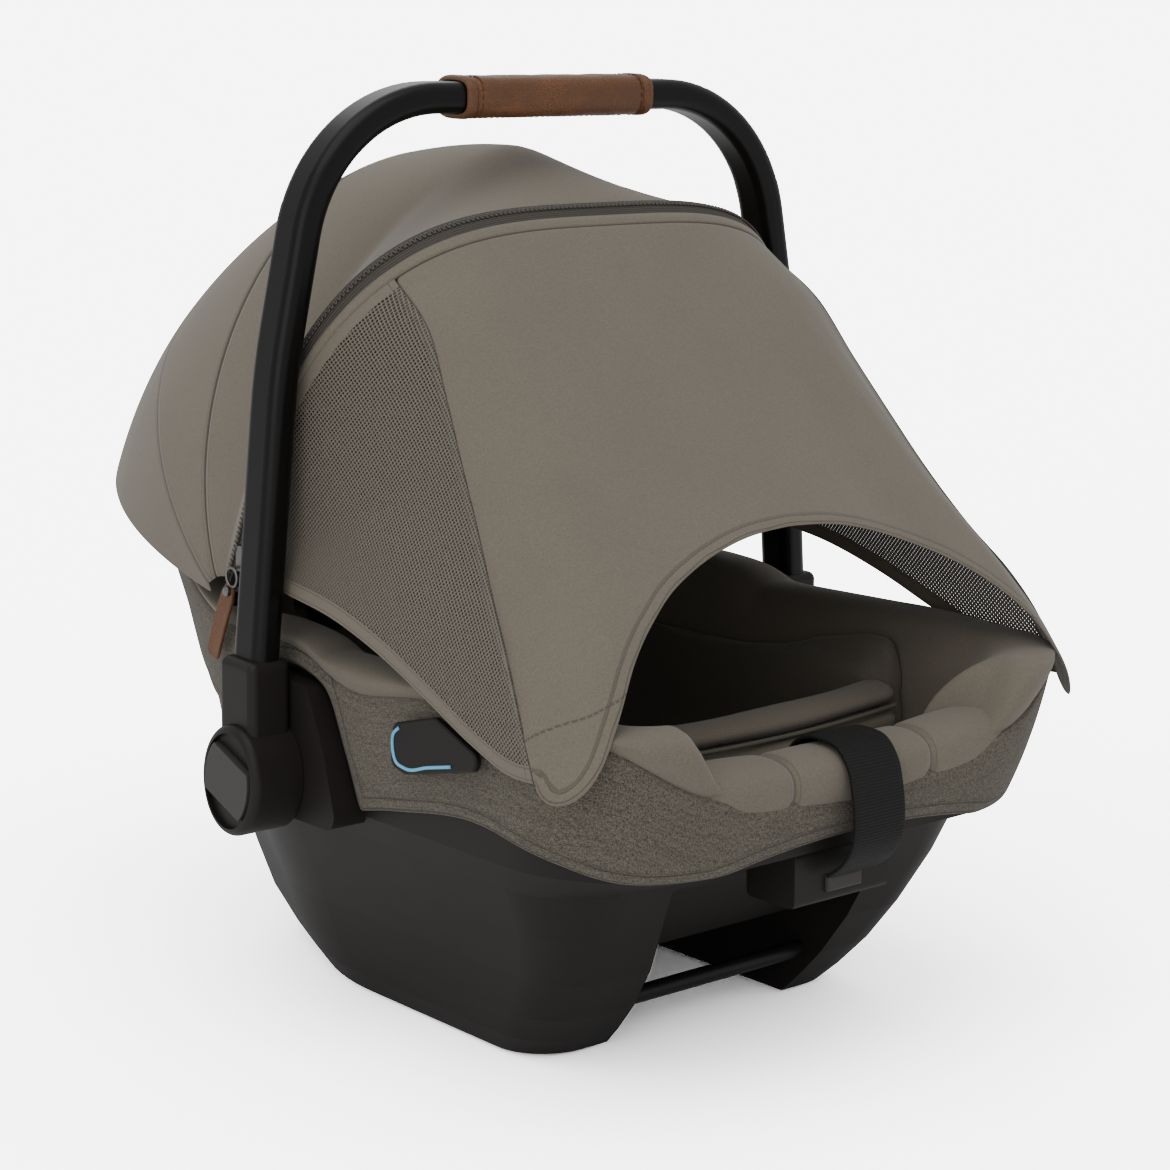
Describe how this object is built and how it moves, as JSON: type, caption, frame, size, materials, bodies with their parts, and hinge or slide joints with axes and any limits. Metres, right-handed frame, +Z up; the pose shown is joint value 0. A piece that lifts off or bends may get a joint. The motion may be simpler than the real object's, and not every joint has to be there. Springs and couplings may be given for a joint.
{
  "type": "infant car seat",
  "caption": "Infant car seat with a black carrying handle and leather-look grip, taupe canopy with zip and drape, woven cover and dark shell on runner skids.",
  "frame": {"origin": "middle of the footprint box, on the floor under the skid feet", "axes": "+Z up, +Y toward the head end, +X to the seated child's left"},
  "size_m": [0.454, 0.6112, 0.5445],
  "materials": {
    "shell_plastic": "fine grain",
    "hub_plastic": "satin",
    "button_plastic": "satin",
    "guide_plastic": "satin",
    "handle_metal": "satin black",
    "grip_leather": "grained",
    "steel": "dull",
    "rubber": "matte",
    "foam": "beaded",
    "woven": "melange weave",
    "knit": "smooth knit",
    "mesh": "open mesh",
    "webbing": "ribbed",
    "buckle_plastic": "satin",
    "red_button": "satin",
    "bow_plastic": "plain",
    "zip_tape": "coil zip"
  },
  "bodies": {
    "seat": {"outer_shell": "shell_plastic", "seat_bucket": "shell_plastic", "skid_feet": "rubber", "front_latch_bar": "steel", "rear_latch_bar": "steel", "foam_liner": "foam", "seat_cover": "woven", "front_roll": "knit", "seat_pad": "knit", "body_insert": "knit", "head_insert": "knit", "left_hub_base": "hub_plastic", "right_hub_base": "hub_plastic", "left_pivot_bolt": "steel", "right_pivot_bolt": "steel", "left_canopy_post": "hub_plastic", "right_canopy_post": "hub_plastic", "left_belt_guide": "guide_plastic", "right_belt_guide": "guide_plastic", "left_shoulder_strap": "webbing", "right_shoulder_strap": "webbing", "left_shoulder_pad": "webbing", "right_shoulder_pad": "webbing", "buckle": "buckle_plastic", "buckle_tongues": "steel", "crotch_strap": "webbing", "adjuster_strap": "webbing", "adjuster_housing": "shell_plastic", "release_housing": "shell_plastic", "canopy_rear_panel": "knit"},
    "handle": {"handle_tube": "handle_metal", "handle_grip": "grip_leather", "left_hub": "hub_plastic", "right_hub": "hub_plastic", "left_button_spring": "steel", "right_button_spring": "steel"},
    "left_hub_button": {"left_hub_button": "button_plastic"},
    "right_hub_button": {"right_hub_button": "button_plastic"},
    "left_stroller_button": {"left_stroller_button": "button_plastic"},
    "right_stroller_button": {"right_stroller_button": "button_plastic"},
    "buckle_button": {"buckle_button": "red_button"},
    "adjuster_button": {"adjuster_button": "button_plastic"},
    "release_trigger": {"release_trigger": "button_plastic"},
    "canopy_middle": {"canopy_middle_panel": "knit", "middle_bow": "bow_plastic"},
    "canopy_front": {"canopy_front_panel": "knit", "front_bow": "bow_plastic", "canopy_zip": "zip_tape", "zip_slider": "steel", "drape_top": "knit", "left_drape_mesh": "mesh", "right_drape_mesh": "mesh"},
    "zip_pull": {"zip_pull": "grip_leather"}
  },
  "joints": [
    {"name": "handle_fold", "type": "hinge", "parent": "seat", "child": "handle", "pos_m": [0, -0.018, 0.152], "axis": [-1, 0, 0], "range_deg": [0, 105]},
    {"name": "left_hub_button_press", "type": "slide", "parent": "handle", "child": "left_hub_button", "axis": [-1, 0, 0], "range_m": [0, 0.0035], "stiffness_N_per_m": 300, "springref_m": -0.003, "deforming": ["left_button_spring"]},
    {"name": "right_hub_button_press", "type": "slide", "parent": "handle", "child": "right_hub_button", "axis": [1, 0, 0], "range_m": [0, 0.0035], "stiffness_N_per_m": 300, "springref_m": -0.003, "deforming": ["right_button_spring"]},
    {"name": "left_stroller_button_press", "type": "slide", "parent": "seat", "child": "left_stroller_button", "axis": [0, -1, 0], "range_m": [0, 0.003], "stiffness_N_per_m": 300, "springref_m": -0.003},
    {"name": "right_stroller_button_press", "type": "slide", "parent": "seat", "child": "right_stroller_button", "axis": [0, -1, 0], "range_m": [0, 0.003], "stiffness_N_per_m": 300, "springref_m": -0.003},
    {"name": "buckle_button_press", "type": "slide", "parent": "seat", "child": "buckle_button", "axis": [0, 0, -1], "range_m": [0, 0.0035], "stiffness_N_per_m": 300, "springref_m": -0.003},
    {"name": "adjuster_button_press", "type": "slide", "parent": "seat", "child": "adjuster_button", "axis": [0, 1, 0], "range_m": [0, 0.003], "stiffness_N_per_m": 300, "springref_m": -0.003},
    {"name": "release_trigger_press", "type": "slide", "parent": "seat", "child": "release_trigger", "axis": [0, 0, 1], "range_m": [0, 0.008], "stiffness_N_per_m": 300, "springref_m": -0.003},
    {"name": "canopy_fold", "type": "hinge", "parent": "seat", "child": "canopy_middle", "pos_m": [0, 0.043, 0.242], "axis": [-1, 0, 0], "range_deg": [0, 21]},
    {"name": "canopy_front_fold", "type": "hinge", "parent": "canopy_middle", "child": "canopy_front", "pos_m": [0, 0.043, 0.242], "axis": [-1, 0, 0], "range_deg": [0, 31], "deforming": ["drape_top", "left_drape_mesh", "right_drape_mesh"]},
    {"name": "zip_pull_swing", "type": "hinge", "parent": "canopy_front", "child": "zip_pull", "pos_m": [-0.187, 0.02149, 0.26608], "axis": [1, 0, 0], "range_deg": [-20, 20]}
  ],
  "couplings": [
    {"joint": "canopy_front_fold", "follows": "canopy_fold", "ratio": 1.4762}
  ]
}
